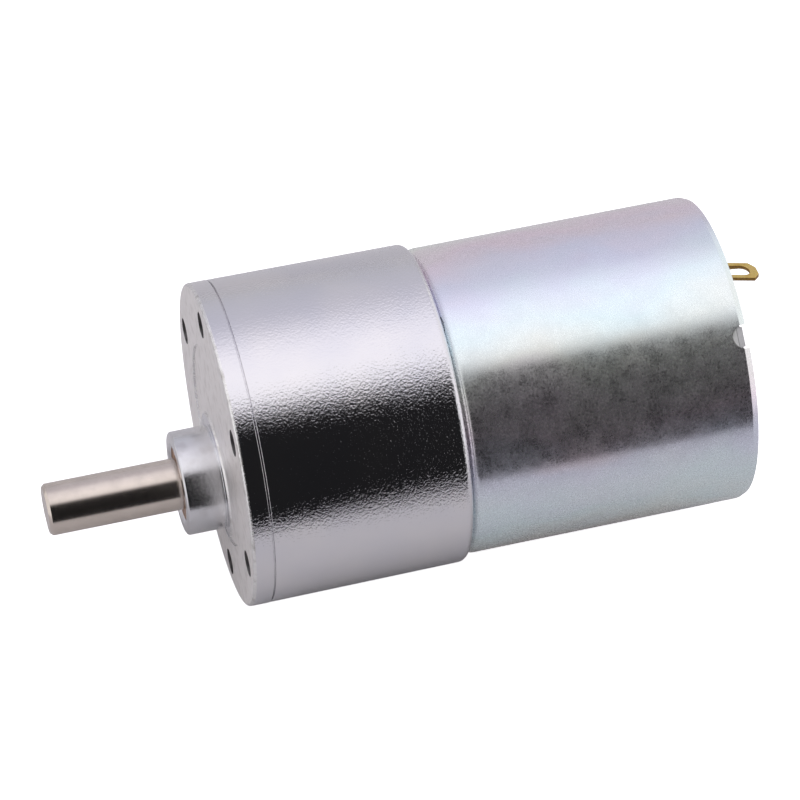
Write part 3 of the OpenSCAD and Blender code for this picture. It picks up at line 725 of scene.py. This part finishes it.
def motor_can():
    """Deep-drawn can: rounded front corner, front boss, rolled rear rim and two notches."""
    lip_r = CAN_INNER_R - 0.4
    band_front = CAN_END - RIM_BAND
    band_r = CAN_R - RIM_BAND_DROP
    body = lathe("drawn_can", rounded([
        (CAN_BOSS_TIP, SHAFT_HOLE_R, 0),
        (CAN_BOSS_TIP, CAN_BOSS_R, 0.4),
        (CASE_END, CAN_BOSS_R, 0),
        (CASE_END, CAN_R, CAN_CORNER_R),
        (band_front, CAN_R, 0),
        (band_front + 0.25, band_r, 0),
        (CAN_END - RIM_LENGTH, band_r, 0.25),
        (CAN_END, CAN_R - RIM_DROP, 0.08),
        (CAN_END, lip_r, 0.15),
        (PLATE_SPAN[1], lip_r, 0),
        (PLATE_SPAN[1], CAN_INNER_R, 0),
        (CASE_END + CAN_FRONT_T, CAN_INNER_R, 0.6),
        (CASE_END + CAN_FRONT_T, BEARING_R + 0.9, 0.3),
        (FRONT_BEARING_SPAN[1], BEARING_R + 0.9, 0.2),
        (FRONT_BEARING_SPAN[1], BEARING_R, 0),
        (FRONT_BEARING_SPAN[0], BEARING_R, 0),
        (FRONT_BEARING_SPAN[0], SHAFT_HOLE_R, 0),
    ]))
    half = NOTCH_W / 2
    outline = [
        (CAN_END + 1, half),
        *arc(CAN_END - NOTCH_DEPTH + half, 0, half, 90, 270, 24),
        (CAN_END + 1, -half),
    ]
    tools = [prism("notch", outline, CAN_INNER_R - 1, 4, angle) for angle in NOTCH_ANGLES]
    for place in MOTOR_SCREWS:
        tools.append(rod(CASE_END - 1, CASE_END + 2, MOTOR_SCREW_CORE_R, place, 40))
    return cut(body, tools)


def end_plate():
    """Rear plate: bearing boss, two lugs keyed into the can's notches, and terminal windows."""
    lug_half_w, lug_r = 1.1, CAN_R - 0.3
    boss_r = BEARING_R + 1.5
    window_half = TERMINAL_W / 2 + 0.5
    body = lathe("pressed_end_plate", rounded([
        (PLATE_SPAN[0], BEARING_R, 0),
        (PLATE_SPAN[0], CAN_INNER_R, 0),
        (PLATE_SPAN[1], CAN_INNER_R, 0.12),
        (PLATE_SPAN[1], boss_r, 0.4),
        (PLATE_BOSS_END, boss_r, 0.5),
        (PLATE_BOSS_END, SHAFT_HOLE_R, 0.15),
        (BEARING_SPAN[1], SHAFT_HOLE_R, 0),
        (BEARING_SPAN[1], BEARING_R, 0),
    ]))
    join(body, [
        block((PLATE_SPAN[0] + 0.25, CAN_INNER_R - 2, -lug_half_w),
              (PLATE_SPAN[1], lug_r, lug_half_w), turn)
        for turn in NOTCH_ANGLES
    ])
    return cut(body, [
        block((PLATE_SPAN[0] - 1, TERMINAL_RING_R - 1, -window_half),
              (PLATE_SPAN[1] + 1, TERMINAL_RING_R + 1, window_half), TERMINAL_ANGLE + side)
        for side in (0, 180)
    ])


def output_shaft():
    """Ground shaft with a chamfered tip, a D flat, a clip groove and a rear journal."""
    groove_r = SHAFT_R - 0.5
    body = lathe("d_shaft", rounded([
        (SHAFT_TIP, 0, 0),
        (SHAFT_TIP, SHAFT_R - 0.32, 0.08),
        (SHAFT_TIP + 0.35, SHAFT_R, 0.1),
        (CLIP_SPAN[0], SHAFT_R, 0),
        (CLIP_SPAN[0], groove_r, 0),
        (CLIP_SPAN[1], groove_r, 0),
        (CLIP_SPAN[1], SHAFT_R, 0),
        (JOURNAL_FRONT, SHAFT_R, 0.1),
        (JOURNAL_FRONT, JOURNAL_R, 0),
        (SHAFT_END, JOURNAL_R, 0.25),
        (SHAFT_END, 0, 0),
    ]), OUTPUT_AXIS, segments=160)
    flat_top = OUTPUT_AXIS[1] - SHAFT_R + FLAT_DEPTH
    return cut(body, [
        block((SHAFT_TIP - 1, -SHAFT_R - 1, flat_top - 3),
              (SHAFT_TIP + FLAT_LENGTH, SHAFT_R + 1, flat_top)),
    ])


def output_bush():
    """Sintered bush, chamfered at the mouth."""
    bore_r = SHAFT_R + 0.035
    return lathe("bronze_bush", rounded([
        (BUSH_FRONT, bore_r + 0.3, 0.06),
        (BUSH_FRONT, BUSH_R - 0.2, 0.06),
        (BUSH_FRONT + 0.25, BUSH_R, 0.06),
        (PAD_BACK, BUSH_R, 0),
        (PAD_BACK, bore_r, 0),
        (BUSH_FRONT + 0.3, bore_r, 0),
    ]), OUTPUT_AXIS, segments=128)


def cover_screws():
    """Three long countersunk screws, driven from behind the motor, with a cross recess."""
    made = None
    tip, head = SCREW_SPAN
    for place in COVER_SCREWS:
        screw = lathe("long_screws", rounded([
            (tip, 0, 0),
            (tip, COVER_SCREW_R - 0.3, 0),
            (tip + 0.3, COVER_SCREW_R, 0),
            (head - COVER_SCREW_HEAD_H, COVER_SCREW_R, 0),
            (head, COVER_SCREW_HEAD_R, 0.06),
            (head, 0, 0),
        ]), place, segments=64)
        slots = []
        for turn in (20, 110):
            slot = block((head - 0.5, -1.0, -0.22), (head + 1, 1.0, 0.22), turn)
            slot.data.transform(Matrix.Translation((0, place[0] * MM, place[1] * MM)))
            slots.append(slot)
        cut(screw, slots)
        made = join(made, [screw]) if made else screw
    return made


def terminal(name, angle):
    """Solder tab with clipped corners and an oblong slot, leaning in where it leaves the motor."""
    start, tip = TERMINAL_SPAN
    base = TERMINAL_RING_R - TERMINAL_T / 2
    half = TERMINAL_W / 2
    bend = CAN_END - 0.05
    slot_start = CAN_END + 1.2
    slot_end = tip - TERMINAL_TIP - TERMINAL_SLOT_R
    clip_length, clip_width = TERMINAL_CORNER
    blade = prism(name, [
        (start, -half), (bend, -half), (tip - clip_length, -half), (tip, clip_width - half),
        (tip, half - clip_width), (tip - clip_length, half), (bend, half), (start, half),
    ], base, TERMINAL_T, 90)
    slot = prism("slot", [
        *arc(slot_start, 0, TERMINAL_SLOT_R, 90, 270),
        *arc(slot_end, 0, TERMINAL_SLOT_R, -90, 90),
    ], base - 1, TERMINAL_T + 2, 90)
    cut(blade, [slot])
    fall = math.tan(math.radians(TERMINAL_LEAN))
    for vertex in blade.data.vertices:
        vertex.co.z -= max(0.0, vertex.co.x - bend * MM) * fall
    blade.data.transform(Matrix.Rotation(math.radians(angle - 90), 4, "X"))
    return soften_edges(blade, 0.06)


def tab_region(_place, normal):
    """Which finish a tab has: 0 its rolled faces, 1 its sheared edges, whose darker brown is painted
    shade.
    """
    outward = Vector((0, *polar(1, TERMINAL_ANGLE)))
    return 0 if abs(normal.dot(outward)) > 0.75 else 1


def dress_inner_nodes(finishes):
    """Gives each CAD node that stays its material."""
    slots = {part["node"]: part["material_slot"] for part in frame["record"]["subparts"]}
    for node, thing in frame["nodes"].items():
        thing.data.materials.clear()
        thing.data.materials.append(finishes[slots[node]])


# --- Studio -------------------------------------------------------------------------------

# What the metal reflects, by elevation in degrees on the side that faces the viewer: 90 is
# overhead, and beyond it lies the far side.
SKY = [
    (-180, (0.55, 0.54, 0.56)),
    (-12, (0.55, 0.54, 0.56)),
    (-6, (0.012, 0.012, 0.013)),
    (72, (0.014, 0.014, 0.015)),
    (84, (1.02, 1.00, 1.04)),
    (98, (1.10, 1.08, 1.13)),
    (122, (1.02, 1.00, 1.08)),
    (145, (0.64, 0.63, 0.71)),
    (180, (0.55, 0.55, 0.60)),
]
# What it reflects near the two ends of the motor's axis, and the share of X where that starts
# and is full.
ENDS = (0.95, 0.94, 0.96)
ENDS_FROM, ENDS_TO = 0.5, 0.8
# The white that only the camera sees: the strength of the backdrop and of the table's glow.
BACKDROP = 1.05
TABLE_GLOW = 0.9
TABLE_HALF = 250

# Azimuth, elevation and roll in degrees, the rest in millimetres.
CAMERA_ANGLES = (-18.973, 59.027, 5.209)
CAMERA_AIM = (20, 0, 0)
CAMERA_SLIDE = (1.383, 1.262)
CAMERA_DISTANCE = 446.58
CAMERA_LENS = 177.4


def studio():
    """A white table under a long overhead softbox, with a dark room on the viewer's side."""
    world = bpy.data.worlds.new("studio")
    world.use_nodes = True
    bpy.context.scene.world = world
    nodes = Nodes(world.node_tree)
    x, y, z = nodes.axes(nodes.add("TexCoord").outputs["Generated"])
    elevation = nodes.maths("ARCTAN2", z, nodes.maths("MULTIPLY", y, -1))
    sky = nodes.ramp(nodes.spread(elevation, -math.pi, math.pi),
                     [((degrees + 180) / 360, color) for degrees, color in SKY])
    near_end = nodes.spread(nodes.maths("ABSOLUTE", x), ENDS_FROM, ENDS_TO, kind="SMOOTHSTEP")
    reflected = world.node_tree.nodes["Background"]
    nodes.link(reflected.inputs["Color"], nodes.mix(near_end, sky, ENDS))
    backdrop = nodes.add("Background")
    nodes.link_all(backdrop, ((1, 1, 1), BACKDROP))
    seen = nodes.add("LightPath").outputs["Is Camera Ray"]
    output = world.node_tree.nodes["World Output"]
    nodes.link(output.inputs["Surface"], nodes.blend(seen, reflected, backdrop))


def floor():
    """White table that the motor lies on."""
    bm = bmesh.new()
    bmesh.ops.create_grid(bm, x_segments=8, y_segments=8, size=TABLE_HALF)
    bmesh.ops.translate(bm, vec=(0, 0, -CASE_R - 0.02), verts=bm.verts)
    table = mesh_object("floor", bm)
    shader = Shader("table_white", (0.80, 0.79, 0.80), metallic=0.0, roughness=0.9)
    seen = shader.add("LightPath").outputs["Is Camera Ray"]
    shader.link(shader.bsdf.inputs["Emission Color"], (1, 1, 1))
    shader.link(shader.bsdf.inputs["Emission Strength"], shader.spread(seen, 0, 1, 0.0, TABLE_GLOW))
    table.data.materials.append(shader.material)


def camera():
    """Camera at the photograph's place, a long lens from above."""
    azimuth, elevation, roll = (math.radians(angle) for angle in CAMERA_ANGLES)
    back = Vector((math.sin(azimuth) * math.cos(elevation), -math.cos(azimuth) * math.cos(elevation),
                   math.sin(elevation)))
    level_right = Vector((math.cos(azimuth), math.sin(azimuth), 0))
    level_up = back.cross(level_right)
    right = level_right * math.cos(roll) + level_up * math.sin(roll)
    up = level_up * math.cos(roll) - level_right * math.sin(roll)
    slide_right, slide_up = CAMERA_SLIDE
    place = Vector(CAMERA_AIM) + slide_right * right + slide_up * up + CAMERA_DISTANCE * back
    data = bpy.data.cameras.new("camera")
    data.lens = CAMERA_LENS
    data.clip_start, data.clip_end = 0.01, 10
    made = bpy.data.objects.new("camera", data)
    bpy.context.scene.collection.objects.link(made)
    turn = Matrix((right, up, back)).transposed().to_4x4()
    made.matrix_world = Matrix.Translation(place * MM) @ turn
    bpy.context.scene.camera = made


# --- Build --------------------------------------------------------------------------------

camera()
studio()
floor()

zinc = cast_zinc()
can_finish = can_zinc()
brass = stamped_brass()
plate_finish = ground_metal("plate_zinc", (0.90, 0.90, 0.90), roughness=0.65, stretch=(1, 1, 1))
screw_finish = ground_metal("plated_screw", (0.76, 0.76, 0.78), roughness=0.25, stretch=(2, 2, 2))
shaft_finish = ground_metal("shaft_steel", (0.75, 0.67, 0.60), roughness=0.2)
bronze = sintered("sintered_bronze", (0.50, 0.31, 0.20))

dress_inner_nodes({
    "cast_zinc": zinc,
    "can_zinc": can_finish,
    "plated_screw": screw_finish,
    "black_screw": ground_metal("black_screw", (0.06, 0.06, 0.065), roughness=0.35),
    "shaft_steel": shaft_finish,
    "ground_steel": ground_metal("ground_steel", (0.66, 0.65, 0.63)),
    "gear_steel": sintered("gear_steel", (0.52, 0.51, 0.49), roughness=0.36),
    "pinion_steel": ground_metal("pinion_steel", (0.42, 0.42, 0.43), roughness=0.3),
    "spring_steel": ground_metal("spring_steel", (0.26, 0.27, 0.31), roughness=0.3),
    "sintered_bronze": bronze,
    "brass": brass,
    "copper": ground_metal("copper", (0.78, 0.42, 0.26), roughness=0.28),
    "enamelled_copper": wound_wire(),
    "lamination": laminated_steel(),
    "ferrite": moulded("ferrite", (0.06, 0.06, 0.065), roughness=0.7),
    "gear_nylon": moulded("gear_nylon", (0.86, 0.84, 0.78), roughness=0.4),
    "holder_plastic": moulded("holder_plastic", (0.97, 0.97, 0.95)),
    "fibre": moulded("fibre", (0.45, 0.19, 0.10), roughness=0.6),
    "carbon": moulded("carbon", (0.05, 0.045, 0.045), roughness=0.55),
})

cover_finishes = (
    cast_matt("cast_zinc_face", (0.93, 0.905, 0.89), (0.80, 0.77, 0.75), roughness=0.52, depth_um=14),
    cast_matt("cast_zinc_boss", (0.76, 0.76, 0.78), (0.66, 0.65, 0.66), roughness=0.20, depth_um=9),
    cast_matt("cast_zinc_edge", (0.92, 0.91, 0.90), (0.62, 0.60, 0.58), roughness=0.25, depth_um=60),
    # painted shade: a dark zinc on the walls of the tapped holes stands for the shade inside them
    cast_matt("tapped_thread_painted_shade", (0.34, 0.33, 0.33), (0.20, 0.20, 0.20), roughness=0.4, depth_um=10),
)
finish_piece(front_cover(), "front_cover", zinc, others=cover_finishes,
             region=cover_region)
finish_piece(gearbox_housing(), "gearbox_housing", zinc)
finish_piece(motor_can(), "motor_can", can_finish)
finish_piece(end_plate(), "end_plate", plate_finish)
finish_piece(output_shaft(), "output_shaft", shaft_finish, "output")
finish_piece(output_bush(), "output_bush", bronze)
finish_piece(cover_screws(), "cover_screws", screw_finish)
# painted shade: the tabs' cut edges and slot walls get a darker brown brass
edge_brass_painted_shade = sheared_brass_painted_shade()
finish_piece(terminal("positive_tab", TERMINAL_ANGLE), "terminal_positive", brass,
             others=(edge_brass_painted_shade,), region=tab_region)
finish_piece(terminal("negative_tab", TERMINAL_ANGLE + 180), "terminal_negative", brass,
             others=(edge_brass_painted_shade,), region=tab_region)

bpy.context.scene.view_settings.view_transform = "Standard"
